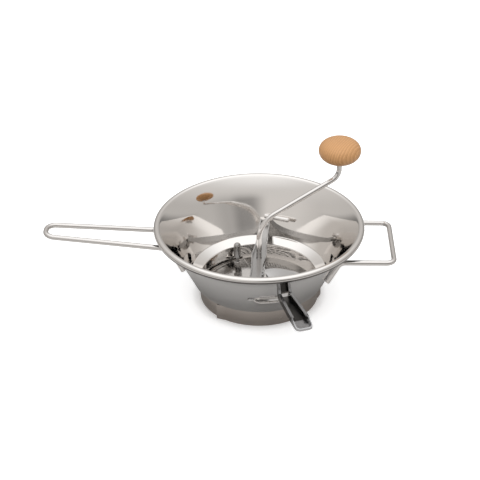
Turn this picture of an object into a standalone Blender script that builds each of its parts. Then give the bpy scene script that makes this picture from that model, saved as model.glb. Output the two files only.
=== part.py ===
# Food mill: hand cranked, with a conical bowl, a perforated disc and a pressing blade.
# Lengths are in metres and +Z is up; the mill stands on the plane Z = 0.
# The long handle points along -X, the short handle along +X and the rest bracket to the front.
# While it is modelled the bowl's axis is the Z axis; the last section centres the whole mill.
import bpy
import bmesh
import math
from mathutils import Matrix, Vector

MM = 0.001

# Driving dimensions
RIM_RADIUS = 120.0 * MM
RIM_TOP = 95.0 * MM
SKIRT_RADIUS = 66.6 * MM
SKIRT_HEIGHT = 25.4 * MM
BAND_HEIGHT = 18.7 * MM
SHEET = 1.0 * MM
WIRE_RADIUS = 3.0 * MM
LONG_REACH = 243.0 * MM
SHORT_REACH = 152.0 * MM
BRACKET_REACH = 155.5 * MM
BAR_LOW = 46.5 * MM
SPINDLE_RADIUS = 3.0 * MM
CRANK_REACH = 98.8 * MM
CRANK_CORNER = 94.1 * MM
CRANK_RISE = 40.6 * MM
KNOB_RADIUS = 24.5 * MM
KNOB_TALL = 28.5 * MM
CLEARANCE = 0.3 * MM
OVERRUN = 12.0 * MM
MERGE = 0.01 * MM

BAR_ANGLE = math.radians(-95.5)
LOCK_TURN = math.radians(24)
BRACKET_ANGLE = math.radians(-71.5)
CRANK_ANGLE = math.radians(22)
ROUND_STEPS = 72

# Finishes: colour, metallic and roughness
POLISHED = ((0.78, 0.77, 0.76), 1.0, 0.15)
SATIN = ((0.55, 0.55, 0.56), 1.0, 0.3)
BEECH = ((0.62, 0.36, 0.17), 0.0, 0.45)

for old in list(bpy.data.objects):
    bpy.data.objects.remove(old, do_unlink=True)
parts = bpy.data.collections.new("food_mill")
guides = bpy.data.collections.new("food_mill_guides")
bpy.context.scene.collection.children.link(parts)
bpy.context.scene.collection.children.link(guides)


# Shared builders
def add_part(name, data, finish):
    color, metallic, roughness = finish
    skin = bpy.data.materials.new(name + "_finish")
    skin.use_nodes = True
    shader = skin.node_tree.nodes["Principled BSDF"]
    shader.inputs["Base Color"].default_value = (*color, 1.0)
    shader.inputs["Metallic"].default_value = metallic
    shader.inputs["Roughness"].default_value = roughness
    data.materials.clear()
    data.materials.append(skin)
    made = bpy.data.objects.new(name, data)
    parts.objects.link(made)
    return made


def settle(thing, finish, smooth=True):
    # Turns a curve, or a mesh with its modifiers, into one plain mesh with its place applied.
    bpy.context.view_layer.update()
    graph = bpy.context.evaluated_depsgraph_get()
    mesh = bpy.data.meshes.new_from_object(thing.evaluated_get(graph))
    mesh.transform(thing.matrix_world)
    name = thing.name
    bpy.data.objects.remove(thing, do_unlink=True)
    work = bmesh.new()
    work.from_mesh(mesh)
    bmesh.ops.remove_doubles(work, verts=work.verts, dist=MERGE)
    bmesh.ops.dissolve_degenerate(work, edges=work.edges, dist=MERGE)
    bmesh.ops.recalc_face_normals(work, faces=work.faces)
    work.to_mesh(mesh)
    work.free()
    if smooth:
        mesh.shade_smooth()
        mesh.set_sharp_from_angle(angle=math.radians(35))
    return add_part(name, mesh, finish)


def combine(thing, tool, how):
    step = thing.modifiers.new(tool.name, "BOOLEAN")
    step.operation = how
    step.solver = "EXACT"
    step.object = tool
    parts.objects.unlink(tool)
    guides.objects.link(tool)
    tool.hide_render = True
    tool.display_type = "WIRE"


def turned(name, profile, steps, finish):
    # The profile is a closed loop in the XZ plane that runs down its outer side first.
    mesh = bpy.data.meshes.new(name)
    edges = [(i, (i + 1) % len(profile)) for i in range(len(profile))]
    mesh.from_pydata([(radius, 0.0, height) for radius, height in profile], edges, [])
    made = add_part(name, mesh, finish)
    spin = made.modifiers.new("turn", "SCREW")
    spin.steps = steps
    spin.render_steps = steps
    spin.use_merge_vertices = True
    spin.merge_threshold = MERGE
    return settle(made, finish)


def ring(name, bore, outer, low, thick, steps, finish):
    profile = [(outer, low + thick), (outer, low), (bore, low), (bore, low + thick)]
    return turned(name, profile, steps, finish)


def add_spline(data, points, closed):
    line = data.splines.new("POLY")
    line.points.add(len(points) - 1)
    for spot, point in zip(line.points, points):
        line_z = point[2] if len(point) > 2 else 0.0
        spot.co = (point[0], point[1], line_z, 1.0)
    line.use_cyclic_u = closed


def plate(name, outlines, low, high, finish, upright=False):
    # Flat outlines, the later ones inside the first being holes, raised from low to high.
    # An upright plate is drawn in XZ and spans low to high along Y.
    data = bpy.data.curves.new(name, "CURVE")
    data.dimensions = "2D"
    data.fill_mode = "BOTH"
    data.extrude = 0.5 * (high - low)
    for outline in outlines:
        add_spline(data, outline, True)
    made = add_part(name, data, finish)
    middle = 0.5 * (high + low)
    if upright:
        made.matrix_world = Matrix.Translation((0, middle, 0)) @ Matrix.Rotation(math.radians(90), 4, "X")
    else:
        made.matrix_world = Matrix.Translation((0, 0, middle))
    return settle(made, finish, False)


def wire(name, points, radius, rings, finish):
    data = bpy.data.curves.new(name, "CURVE")
    data.dimensions = "3D"
    data.bevel_depth = radius
    data.bevel_resolution = rings
    data.use_fill_caps = True
    add_spline(data, points, False)
    return settle(add_part(name, data, finish), finish)


def rounded_path(corners, radii, steps):
    # Straight runs joined by arcs; radii holds one radius for each inner corner.
    path = [Vector(corners[0])]
    for i, radius in enumerate(radii, 1):
        here = Vector(corners[i])
        back = (Vector(corners[i - 1]) - here).normalized()
        ahead = (Vector(corners[i + 1]) - here).normalized()
        half = 0.5 * back.angle(ahead)
        middle = here + (back + ahead).normalized() * (radius / math.sin(half))
        start = here + back * (radius / math.tan(half)) - middle
        end = here + ahead * (radius / math.tan(half)) - middle
        sweep = start.angle(end)
        for k in range(steps + 1):
            turn = sweep * k / steps
            path.append(middle + start * (math.sin(sweep - turn) / math.sin(sweep))
                        + end * (math.sin(turn) / math.sin(sweep)))
    path.append(Vector(corners[-1]))
    return path


def circle(radius, count, shift=0.0):
    return [(radius * math.cos(2 * math.pi * i / count + shift),
             radius * math.sin(2 * math.pi * i / count + shift)) for i in range(count)]


def arc_band(inner, outer_start, outer_end, first, last, steps):
    # Outline of a curved strip between two angles, whose outer edge may taper.
    near = []
    far = []
    for i in range(steps + 1):
        share = i / steps
        angle = first + (last - first) * share
        outer = outer_start + (outer_end - outer_start) * share
        near.append((inner * math.cos(angle), inner * math.sin(angle)))
        far.append((outer * math.cos(angle), outer * math.sin(angle)))
    return far + near[::-1]


def at_angle(thing, angle):
    thing.rotation_euler = (0, 0, angle)
    return thing


# Bowl: a spun cone that flares to a rolled rim, with a hem, a sloping collar, a skirt and a lip
BEAD_RADIUS = 3.9 * MM
NECK_INSET = 22.8 * MM
NECK_DROP = 25.0 * MM
COLLAR_OUT = 11.5 * MM
COLLAR_RISE = 5.6 * MM
HEM_DROP = 8.0 * MM
LIP_WIDTH = 6.1 * MM
LIP_HEIGHT = 5.0 * MM
bead_angles_deg = (140, 105, 70, 35, 0, -35, -70, -105, -140, -175)
flare_shares = (0.75, 0.5, 0.25)

lip_radius = SKIRT_RADIUS - LIP_WIDTH
skirt_top = Vector((SKIRT_RADIUS, SKIRT_HEIGHT))
shoulder = skirt_top + Vector((COLLAR_OUT, COLLAR_RISE))
neck = Vector((RIM_RADIUS - NECK_INSET, RIM_TOP - NECK_DROP))
hem_low = shoulder[1] - HEM_DROP
cone_run = (neck - shoulder).normalized()
cone_out = Vector((cone_run[1], -cone_run[0]))
collar_run = (shoulder - skirt_top).normalized()
collar_under = skirt_top + Vector((collar_run[1], -collar_run[0])) * SHEET


def cone_radius(height, offset):
    # Radius, at a height, of the line that lies the offset outside the cone's inner face.
    foot = shoulder + cone_out * offset
    return foot[0] + (height - foot[1]) * cone_run[0] / cone_run[1]


def crossing(start, along, other_start, other_along):
    # Where two lines of the profile's plane cross.
    return start + along * ((other_start - start).cross(other_along) / along.cross(other_along))


def bead_point(degrees):
    turn = math.radians(degrees)
    middle = Vector((RIM_RADIUS - BEAD_RADIUS, RIM_TOP - BEAD_RADIUS))
    return middle + BEAD_RADIUS * Vector((math.cos(turn), math.sin(turn)))


def flare_point(share, offset):
    # A smooth curve from the cone's direction at the neck to the bead's direction at its start.
    turn = math.radians(bead_angles_deg[0])
    end = bead_point(bead_angles_deg[0])
    knee = crossing(neck, cone_run, end, Vector((math.sin(turn), -math.cos(turn))))
    first = neck.lerp(knee, share)
    last = knee.lerp(end, share)
    along = (last - first).normalized()
    return first.lerp(last, share) + Vector((along[1], -along[0])) * offset


def bowl_profile():
    upright = Vector((0, 1))
    loop = [bead_point(degrees) for degrees in bead_angles_deg]
    loop += [flare_point(share, SHEET) for share in flare_shares]
    loop += [
        neck + cone_out * SHEET,
        Vector((cone_radius(hem_low, SHEET), hem_low)),
        Vector((cone_radius(hem_low, 0), hem_low)),
        crossing(shoulder, cone_run, collar_under, collar_run),
        crossing(Vector((SKIRT_RADIUS + SHEET, 0)), upright, collar_under, collar_run),
        Vector((SKIRT_RADIUS + SHEET, LIP_HEIGHT)),
        Vector((lip_radius, LIP_HEIGHT)),
        Vector((lip_radius, LIP_HEIGHT + SHEET)),
        Vector((SKIRT_RADIUS, LIP_HEIGHT + SHEET)),
        skirt_top,
        shoulder,
        neck,
    ]
    loop += [flare_point(share, 0) for share in reversed(flare_shares)]
    return loop


bowl = turned("bowl", bowl_profile(), ROUND_STEPS, POLISHED)

# The crossbar's front tongue turns in a slot with a pressed lip below it, which ends in a
# taller entry behind the rest bracket. Its rear tongue turns out from under a nib on the wall.
TONGUE_HALF = 3.0 * MM
TONGUE_OUT = 0.6 * MM
BAR_SHEET = 1.5 * MM
SLOT_PLAY = 0.5 * MM
SLOT_SIDE = 0.8 * MM
ENTRY_RISE = 9.8 * MM
LIP_OUT = 6.2 * MM
LIP_THICK = 1.2 * MM
LIP_STEPS = 10
ENTRY_STEPS = 4
LIP_START = math.radians(1)
LIP_STOP = math.radians(2)
REAR_PLAY = 0.5 * MM
NIB_HIGH = 2.4 * MM
NIB_GAP = 0.7 * MM
NIB_TURN = math.radians(4.5)
NIB_STEPS = 5
BAR_GAP = 4.0 * MM

tongue_tip = cone_radius(BAR_LOW, SHEET) + TONGUE_OUT
slot_low = BAR_LOW - CLEARANCE
slot_high = BAR_LOW + BAR_SHEET + SLOT_PLAY
slot_side = (TONGUE_HALF + SLOT_SIDE) / tongue_tip
lip_top = slot_low - CLEARANCE
lip_root = cone_radius(lip_top - LIP_THICK, 0.5 * SHEET)
cut_in = tongue_tip - OVERRUN
cut_out = tongue_tip + OVERRUN
bar_end = cone_radius(BAR_LOW, 0) - BAR_GAP
rear_tip = cone_radius(BAR_LOW, 0) - REAR_PLAY
nib_low = BAR_LOW + BAR_SHEET + SLOT_PLAY
nib_high = nib_low + NIB_HIGH
nib_in = bar_end + NIB_GAP
rear_angle = BAR_ANGLE + math.pi

lip = plate("front_lip", [arc_band(lip_root, lip_root + SHEET, tongue_tip + LIP_OUT, BAR_ANGLE + LIP_START,
                                   BAR_ANGLE + LOCK_TURN - LIP_STOP, LIP_STEPS)],
            lip_top - LIP_THICK, lip_top, POLISHED)
combine(bowl, lip, "UNION")
nib_outer = cone_radius(nib_low, 0.5 * SHEET)
nib_top_outer = cone_radius(nib_high, 0.5 * SHEET)
nib = turned("rear_nib", [(nib_top_outer, nib_high), (nib_outer, nib_low), (nib_in, nib_low),
                          (nib_in, nib_high)], ROUND_STEPS, POLISHED)
nib_span = plate("nib_span", [arc_band(nib_in - OVERRUN, nib_in + OVERRUN, nib_in + OVERRUN,
                                       rear_angle - NIB_TURN, rear_angle + NIB_TURN, NIB_STEPS)],
                 nib_low - OVERRUN, nib_high + OVERRUN, POLISHED)
combine(nib, nib_span, "INTERSECT")
nib = settle(nib, POLISHED)
combine(bowl, nib, "UNION")
entry_angle = BAR_ANGLE + LOCK_TURN
slot = plate("front_slot", [arc_band(cut_in, cut_out, cut_out, BAR_ANGLE - slot_side,
                                     entry_angle + slot_side, LIP_STEPS)], slot_low, slot_high, POLISHED)
combine(bowl, slot, "DIFFERENCE")
entry = plate("front_entry", [arc_band(cut_in, cut_out, cut_out, entry_angle - slot_side,
                                       entry_angle + slot_side, ENTRY_STEPS)],
              slot_low, BAR_LOW + ENTRY_RISE, POLISHED)
combine(bowl, entry, "DIFFERENCE")
bowl = settle(bowl, POLISHED)


# Base ring: the band and foot that the mill stands on; its front is a strap whose ends flare out
BAND_SHEET = 1.0 * MM
FOOT_WIDTH = 4.6 * MM
FOOT_THICK = 1.2 * MM
STRAP_DEPTH = 0.5 * MM
STRAP_FIRST = math.radians(-132)
STRAP_LAST = math.radians(-3)
FLARE_OUT = 3.2 * MM
FLARE_TURN = math.radians(8)
FLARE_STEPS = 3
RELIEF_STEPS = 46

foot_inner = SKIRT_RADIUS - FOOT_WIDTH
band_inner = SKIRT_RADIUS + SHEET + CLEARANCE
band_outer = band_inner + BAND_SHEET
back_outer = band_outer - STRAP_DEPTH
flare_outer = band_outer + FLARE_OUT
base_ring = turned("base_ring", [
    (band_outer, BAND_HEIGHT), (band_outer, 0.0), (foot_inner, 0.0),
    (foot_inner, FOOT_THICK), (band_inner, FOOT_THICK), (band_inner, BAND_HEIGHT)], ROUND_STEPS, SATIN)
relief = plate("strap_relief", [arc_band(back_outer, band_outer + OVERRUN, band_outer + OVERRUN,
                                         STRAP_LAST, STRAP_FIRST + 2 * math.pi, RELIEF_STEPS)],
               -OVERRUN, BAND_HEIGHT + OVERRUN, SATIN)
combine(base_ring, relief, "DIFFERENCE")
left_flare = plate("left_flare", [arc_band(back_outer, flare_outer, band_outer, STRAP_FIRST,
                                           STRAP_FIRST + FLARE_TURN, FLARE_STEPS)], 0.0, BAND_HEIGHT, SATIN)
combine(base_ring, left_flare, "UNION")
right_flare = plate("right_flare", [arc_band(back_outer, band_outer, flare_outer, STRAP_LAST - FLARE_TURN,
                                             STRAP_LAST, FLARE_STEPS)], 0.0, BAND_HEIGHT, SATIN)
combine(base_ring, right_flare, "UNION")
base_ring = settle(base_ring, SATIN)


# Sieve disc: a shallow perforated dome that lies on the bowl's lip
DISC_THICK = 0.8 * MM
DOME_INSET = 6.6 * MM
DOME_RISE = 3.0 * MM
PIVOT_RADIUS = 4.5 * MM
HOLE_RADIUS = 1.6 * MM
HOLE_PITCH = 8.8 * MM
HOLE_FIRST = 14.0 * MM
HOLE_INSET = 5.0 * MM
HOLE_SIDES = 6
dome_radius_shares = (1.0, 0.8, 0.55, 0.3)

disc_radius = SKIRT_RADIUS - CLEARANCE
dome_radius = SKIRT_RADIUS - DOME_INSET
hole_last = dome_radius - HOLE_INSET
disc_low = LIP_HEIGHT + SHEET + CLEARANCE
disc_top = disc_low + DISC_THICK


def dome_lift(radius):
    share = min(radius / dome_radius, 1.0)
    return DOME_RISE * (1.0 - share * share)


dome_radii = [dome_radius * share for share in dome_radius_shares] + [PIVOT_RADIUS]
sieve_profile = [(disc_radius, disc_top), (disc_radius, disc_low)]
sieve_profile += [(radius, disc_low + dome_lift(radius)) for radius in dome_radii]
sieve_profile += [(radius, disc_top + dome_lift(radius)) for radius in reversed(dome_radii)]
sieve = turned("sieve_disc", sieve_profile, ROUND_STEPS, POLISHED)

holes = []
for row in range(int((hole_last - HOLE_FIRST) / HOLE_PITCH) + 1):
    row_radius = HOLE_FIRST + row * HOLE_PITCH
    count = int(2 * math.pi * row_radius / HOLE_PITCH)
    for k in range(count):
        turn = 2 * math.pi * (k + 0.25 + 0.5 * (row % 2)) / count
        holes.append([(x + row_radius * math.cos(turn), y + row_radius * math.sin(turn))
                      for x, y in circle(HOLE_RADIUS, HOLE_SIDES, turn)])
punches = plate("sieve_punches", holes, disc_low - OVERRUN, disc_top + OVERRUN, POLISHED)
combine(sieve, punches, "DIFFERENCE")
sieve = settle(sieve, POLISHED)


# Handles: two wire loops whose ends are bent down along the cone
WIRE_RINGS = 3
LEG_ROUND = 9.0 * MM
BEND_STEPS = 6
LONG_HALF = 20.0 * MM
LONG_LEG = 29.0 * MM
LONG_DROP = 23.0 * MM
LONG_TIP_HALF = 13.0 * MM
LONG_TIP_RISE = 12.3 * MM
LONG_TIP_ROUND = 11.5 * MM
SHORT_HALF = 44.0 * MM
SHORT_LEG = 25.6 * MM
SHORT_DROP = 26.4 * MM
SHORT_TIP_DROP = 0.6 * MM
SHORT_ROUND = 9.0 * MM


def handle(name, sign, half, foot, bend, reach, tip_half, tip_height, tip_round):
    # The wire's feet touch the cone at the height foot and leave it at the height bend.
    def on_cone(height):
        radius = cone_radius(height, SHEET + CLEARANCE + WIRE_RADIUS)
        return sign * math.sqrt(radius * radius - half * half)

    corners = [(on_cone(foot), -half, foot), (on_cone(bend), -half, bend)]
    corners.append((sign * reach, -tip_half, tip_height))
    corners += [(x, -y, z) for x, y, z in reversed(corners)]
    path = rounded_path(corners, (LEG_ROUND, tip_round, tip_round, LEG_ROUND), BEND_STEPS)
    return wire(name, path, WIRE_RADIUS, WIRE_RINGS, POLISHED)


long_bend = RIM_TOP - LONG_DROP
short_bend = RIM_TOP - SHORT_DROP
long_handle = handle("long_handle", -1, LONG_HALF, long_bend - LONG_LEG, long_bend, LONG_REACH,
                     LONG_TIP_HALF, long_bend + LONG_TIP_RISE, LONG_TIP_ROUND)
short_handle = handle("short_handle", 1, SHORT_HALF, short_bend - SHORT_LEG, short_bend, SHORT_REACH,
                      SHORT_HALF, short_bend - SHORT_TIP_DROP, SHORT_ROUND)


# Rest bracket: a channel with turned in lips, welded to the cone, that ends in an open tray
BRACKET_SHEET = 1.2 * MM
BRACKET_STEP = 1.9 * MM
BRACKET_HIGH = 7.2 * MM
BRACKET_LIP = 3.2 * MM
ROOT_HALF = 7.7 * MM
ROOT_DEEP = 8.0 * MM
TRAY_LONG = 18.0 * MM
TRAY_HALF = 9.8 * MM
TRAY_ROUND = 5.5 * MM
TRAY_EDGE = 2.6 * MM
LIP_FADE = 2.0 * MM
CORNER_STEPS = 5
FLOOR_GAP = 1.2 * MM

bracket_low = BAR_LOW + BRACKET_STEP
bracket_top = bracket_low + BRACKET_HIGH
floor = bracket_low + BRACKET_SHEET
root = cone_radius(bracket_low, 0)
arm_end = BRACKET_REACH - TRAY_LONG
floor_start = tongue_tip + FLOOR_GAP


def arm_half(reach):
    # The channel widens from its root to the tray.
    return ROOT_HALF + (TRAY_HALF - ROOT_HALF) * (reach - root) / (arm_end - root)


def bracket_outline(start, arm_inset, tray_inset):
    near = arm_half(start) - arm_inset
    far = TRAY_HALF - arm_inset
    half = TRAY_HALF - tray_inset
    corner = TRAY_ROUND - tray_inset
    middle = BRACKET_REACH - TRAY_ROUND
    points = [(start, near), (start, -near), (arm_end, -far), (arm_end + LIP_FADE, -half)]
    for sign, first in ((-1, -90), (1, 0)):
        for k in range(CORNER_STEPS + 1):
            turn = math.radians(first + 90 * k / CORNER_STEPS)
            points.append((middle + corner * math.cos(turn),
                           sign * (half - corner) + corner * math.sin(turn)))
    return points + [(arm_end + LIP_FADE, half), (arm_end, far)]


def bracket_cuts():
    inside = root - ROOT_DEEP - OVERRUN
    yield plate("bracket_hollow", [bracket_outline(inside, BRACKET_SHEET, BRACKET_SHEET)],
                floor, bracket_top - BRACKET_SHEET, SATIN)
    yield plate("bracket_mouth", [bracket_outline(inside, BRACKET_LIP, BRACKET_SHEET)],
                floor, bracket_top + OVERRUN, SATIN)
    # No floor is left next to the cone, where the crossbar's tongue goes in.
    near = arm_half(inside) - BRACKET_SHEET
    far = arm_half(floor_start) - BRACKET_SHEET
    yield plate("tongue_room", [[(inside, near), (inside, -near), (floor_start, -far), (floor_start, far)]],
                bracket_low - OVERRUN, floor, SATIN)
    # The tray's edge falls towards its front.
    beyond = BRACKET_REACH + OVERRUN
    yield plate("tray_slope", [[(arm_end, bracket_top), (BRACKET_REACH, bracket_low + TRAY_EDGE),
                                (beyond, bracket_low + TRAY_EDGE), (beyond, bracket_top + OVERRUN),
                                (arm_end, bracket_top + OVERRUN)]],
                -TRAY_HALF - OVERRUN, TRAY_HALF + OVERRUN, SATIN, True)
    low = bracket_low - OVERRUN
    high = bracket_top + OVERRUN
    offset = SHEET + CLEARANCE
    yield turned("root_cone", [(cone_radius(high, offset), high), (cone_radius(low, offset), low),
                               (0.0, low), (0.0, high)], ROUND_STEPS, SATIN)


bracket = plate("rest_bracket", [bracket_outline(root - ROOT_DEEP, 0, 0)], bracket_low, bracket_top, SATIN)
for cut in bracket_cuts():
    combine(bracket, cut, "DIFFERENCE")
bracket = at_angle(settle(bracket, SATIN, False), BRACKET_ANGLE)


# Crossbar: a strip with turned up edges, widest at the spindle hole, with a tongue at each end
BAR_WIDE = 8.75 * MM
BAR_KINK = 24.0 * MM
BAR_NARROW = 6.5 * MM
BAR_END_HALF = 5.9 * MM
BAR_EDGE = 6.0 * MM
BAR_RIM = 1.2 * MM
BORE_STEPS = 20
bore = SPINDLE_RADIUS + CLEARANCE


def bar_outline(inset, end):
    half = [(end, BAR_END_HALF - inset), (BAR_KINK, BAR_NARROW - inset), (0.0, BAR_WIDE - inset),
            (-BAR_KINK, BAR_NARROW - inset), (-end, BAR_END_HALF - inset)]
    return half + [(-x, -y) for x, y in half]


bar_top = BAR_LOW + BAR_SHEET
crossbar = plate("crossbar", [bar_outline(0.0, bar_end)], BAR_LOW, BAR_LOW + BAR_EDGE, POLISHED)
bar_trough = plate("bar_trough", [bar_outline(BAR_RIM, bar_end + OVERRUN)], bar_top,
                   BAR_LOW + BAR_EDGE + OVERRUN, POLISHED)
bar_tongues = plate("bar_tongues", [[(tongue_tip, TONGUE_HALF), (-rear_tip, TONGUE_HALF),
                                     (-rear_tip, -TONGUE_HALF), (tongue_tip, -TONGUE_HALF)]],
                    BAR_LOW, bar_top, POLISHED)
bar_bore = plate("bar_bore", [circle(bore, BORE_STEPS)], BAR_LOW - OVERRUN, bar_top + OVERRUN, POLISHED)
combine(crossbar, bar_trough, "DIFFERENCE")
combine(crossbar, bar_tongues, "UNION")
combine(crossbar, bar_bore, "DIFFERENCE")
crossbar = at_angle(settle(crossbar, POLISHED, False), BAR_ANGLE)


# Crossbar peg: a round finger bar that lies across the strip's rear end
PEG_RADIUS = 2.8 * MM
PEG_OUT = 0.8 * MM
PEG_SKEW = math.radians(-21)
PEG_SHORT = 1.2 * MM
PEG_LONG = 30.6 * MM
PEG_STEPS = 14
DOME_STEPS = 4


def dome_end(radius, tip):
    # Quarter round from the axis down to the side, at the top end of a turned profile.
    points = []
    for k in range(DOME_STEPS + 1):
        turn = math.radians(90 - 90 * k / DOME_STEPS)
        points.append((radius * math.cos(turn), tip - radius + radius * math.sin(turn)))
    return points


peg_back = bar_end + PEG_OUT
peg = turned("crossbar_peg", dome_end(PEG_RADIUS, PEG_LONG) + [(PEG_RADIUS, -PEG_SHORT), (0.0, -PEG_SHORT)],
             PEG_STEPS, POLISHED)
peg.rotation_euler = (0, math.radians(90), PEG_SKEW)
peg.location = (-peg_back * math.cos(BAR_ANGLE), -peg_back * math.sin(BAR_ANGLE),
                BAR_LOW + BAR_EDGE + CLEARANCE + PEG_RADIUS)


# Pressing blade: one sheet that winds up from its trailing corner to its leading edge
BLADE_THICK = 1.2 * MM
BLADE_INSET = 3.6 * MM
BLADE_LIFT = 11.0 * MM
BLADE_GAP = 0.6 * MM
BLADE_FIRST = math.radians(106)
BLADE_LAST = math.radians(365)
BLADE_SWEEP = math.radians(80)
BLADE_COLUMNS = 30
BLADE_ROWS = 8
HUB_RADIUS = 9.0 * MM
SOLE_SHARE = 0.12

blade_radius = SKIRT_RADIUS - BLADE_INSET


def blade_height(radius, share):
    climb = max(0.0, share - SOLE_SHARE) / (1.0 - SOLE_SHARE)
    return disc_top + dome_lift(radius) + BLADE_GAP + BLADE_LIFT * climb


def make_blade():
    # The leading edge curves on round the hub, so the blade's inner side winds further.
    work = bmesh.new()
    bmesh.ops.create_grid(work, x_segments=BLADE_COLUMNS, y_segments=BLADE_ROWS, size=1.0)
    inner = HUB_RADIUS + CLEARANCE
    for vert in work.verts:
        share = 0.5 * (1.0 - vert.co.x)
        out = 0.5 * (1.0 + vert.co.y)
        last = BLADE_LAST + BLADE_SWEEP * (1.0 - out) ** 2
        angle = BLADE_FIRST + (last - BLADE_FIRST) * share
        radius = inner + (blade_radius - inner) * out
        vert.co = (radius * math.cos(angle), radius * math.sin(angle), blade_height(radius, share))
    mesh = bpy.data.meshes.new("blade")
    work.to_mesh(mesh)
    work.free()
    sheet = add_part("blade", mesh, SATIN)
    up = sum(face.normal.z for face in mesh.polygons)
    body = sheet.modifiers.new("sheet", "SOLIDIFY")
    body.thickness = BLADE_THICK
    body.offset = 1.0 if up > 0 else -1.0
    return settle(sheet, SATIN)


blade = make_blade()


# Blade hub and the pin that ties it to the spindle
HUB_HIGH = 22.5 * MM
HUB_ROUND = 2.0 * MM
HUB_STEPS = 28
PIN_RADIUS = 1.25 * MM
PIN_DROP = 6.0 * MM
PIN_HALF = 8.6 * MM
PIN_STEPS = 10

pin_height = HUB_HIGH - PIN_DROP
hub_low = disc_top + DOME_RISE + BLADE_GAP
hub = turned("blade_hub", [(HUB_RADIUS - HUB_ROUND, HUB_HIGH), (HUB_RADIUS, HUB_HIGH - HUB_ROUND),
                           (HUB_RADIUS, hub_low), (bore, hub_low), (bore, HUB_HIGH)], HUB_STEPS, POLISHED)


def cross_drill(name):
    # Cylinder along Y through the spindle and the hub.
    work = bmesh.new()
    radius = PIN_RADIUS + CLEARANCE
    bmesh.ops.create_cone(work, cap_ends=True, segments=PIN_STEPS, radius1=radius, radius2=radius,
                          depth=2 * (HUB_RADIUS + OVERRUN))
    mesh = bpy.data.meshes.new(name)
    work.to_mesh(mesh)
    work.free()
    drill = add_part(name, mesh, POLISHED)
    drill.rotation_euler = (math.radians(90), 0, 0)
    drill.location = (0, 0, pin_height)
    return drill


combine(hub, cross_drill("hub_drill"), "DIFFERENCE")
hub = settle(hub, POLISHED)
pin = turned("hub_pin", [(0.0, PIN_HALF), (PIN_RADIUS, PIN_HALF), (PIN_RADIUS, -PIN_HALF), (0.0, -PIN_HALF)],
             PIN_STEPS, POLISHED)
pin.rotation_euler = (math.radians(90), 0, 0)
pin.location = (0, 0, pin_height)


# Spring with its two seats, which presses the hub down from under the crossbar
SEAT_RADIUS = 8.0 * MM
SEAT_THICK = 1.0 * MM
SPRING_WIRE = 0.7 * MM
SPRING_RADIUS = 6.3 * MM
SPRING_CURLS = 5
CURL_POINTS = 10
SEAT_STEPS = 20

lower_seat_low = HUB_HIGH + CLEARANCE
upper_seat_low = BAR_LOW - CLEARANCE - SEAT_THICK
lower_seat = ring("lower_seat", bore, SEAT_RADIUS, lower_seat_low, SEAT_THICK, SEAT_STEPS, POLISHED)
upper_seat = ring("upper_seat", bore, SEAT_RADIUS, upper_seat_low, SEAT_THICK, SEAT_STEPS, POLISHED)
spring_low = lower_seat_low + SEAT_THICK + CLEARANCE + SPRING_WIRE
spring_high = upper_seat_low - CLEARANCE - SPRING_WIRE
coil_steps = SPRING_CURLS * CURL_POINTS
coil = []
for i in range(coil_steps + 1):
    turn = 2 * math.pi * i / CURL_POINTS
    coil.append(Vector((SPRING_RADIUS * math.cos(turn), SPRING_RADIUS * math.sin(turn),
                        spring_low + (spring_high - spring_low) * i / coil_steps)))
spring = wire("spring", coil, SPRING_WIRE, 1, POLISHED)
coil_gap = min((coil[i] - coil[k]).length for i in range(coil_steps + 1)
               for k in range(i + CURL_POINTS // 2, coil_steps + 1)) - 2 * SPRING_WIRE
print("least gap between the spring's curls: %.2f mm" % (coil_gap / MM))


# Crank rod: spindle, long bend, sloping arm and upright knob pin, all one rod
CRANK_BEND = 31.5 * MM
CRANK_ELBOW = 14.0 * MM
CRANK_FOOT = 3.0 * MM
KNOB_STAND = 18.2 * MM
KNOB_FLOOR = 10.3 * MM
KNOB_ROOF = 7.5 * MM
CRANK_SHORT = 2.0 * MM
CRANK_RINGS = 4

knob_low = CRANK_CORNER + CRANK_RISE + KNOB_STAND
knob_high = knob_low + KNOB_TALL
pocket_low = knob_low + KNOB_FLOOR
pocket_high = knob_high - KNOB_ROOF
knob_x = CRANK_REACH * math.cos(CRANK_ANGLE)
knob_y = CRANK_REACH * math.sin(CRANK_ANGLE)
crank_corners = [(0.0, 0.0, hub_low - CRANK_FOOT), (0.0, 0.0, CRANK_CORNER),
                 (knob_x, knob_y, CRANK_CORNER + CRANK_RISE), (knob_x, knob_y, pocket_high - CRANK_SHORT)]
crank = wire("crank_rod", rounded_path(crank_corners, (CRANK_BEND, CRANK_ELBOW), 9), SPINDLE_RADIUS,
             CRANK_RINGS, POLISHED)
combine(crank, cross_drill("crank_drill"), "DIFFERENCE")
crank = settle(crank, POLISHED)


# Knob: turned beech, spinning on the rod between a collar below and a clip inside
KNOB_NECK = 7.0 * MM
KNOB_PLAY = 0.4 * MM
POCKET_RADIUS = 6.2 * MM
KNOB_STEPS = 36
COLLAR_RADIUS = 5.0 * MM
COLLAR_THICK = 2.0 * MM
CLIP_RADIUS = 5.2 * MM
CLIP_THICK = 1.2 * MM
# Height and radius shares of the points along the knob's outer side
knob_shares = ((1.0, 0.2), (0.975, 0.4), (0.87, 0.64), (0.66, 0.83), (0.38, 0.96), (0.05, 1.0),
               (-0.28, 0.96), (-0.56, 0.84), (-0.78, 0.66), (-0.93, 0.46))

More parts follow.
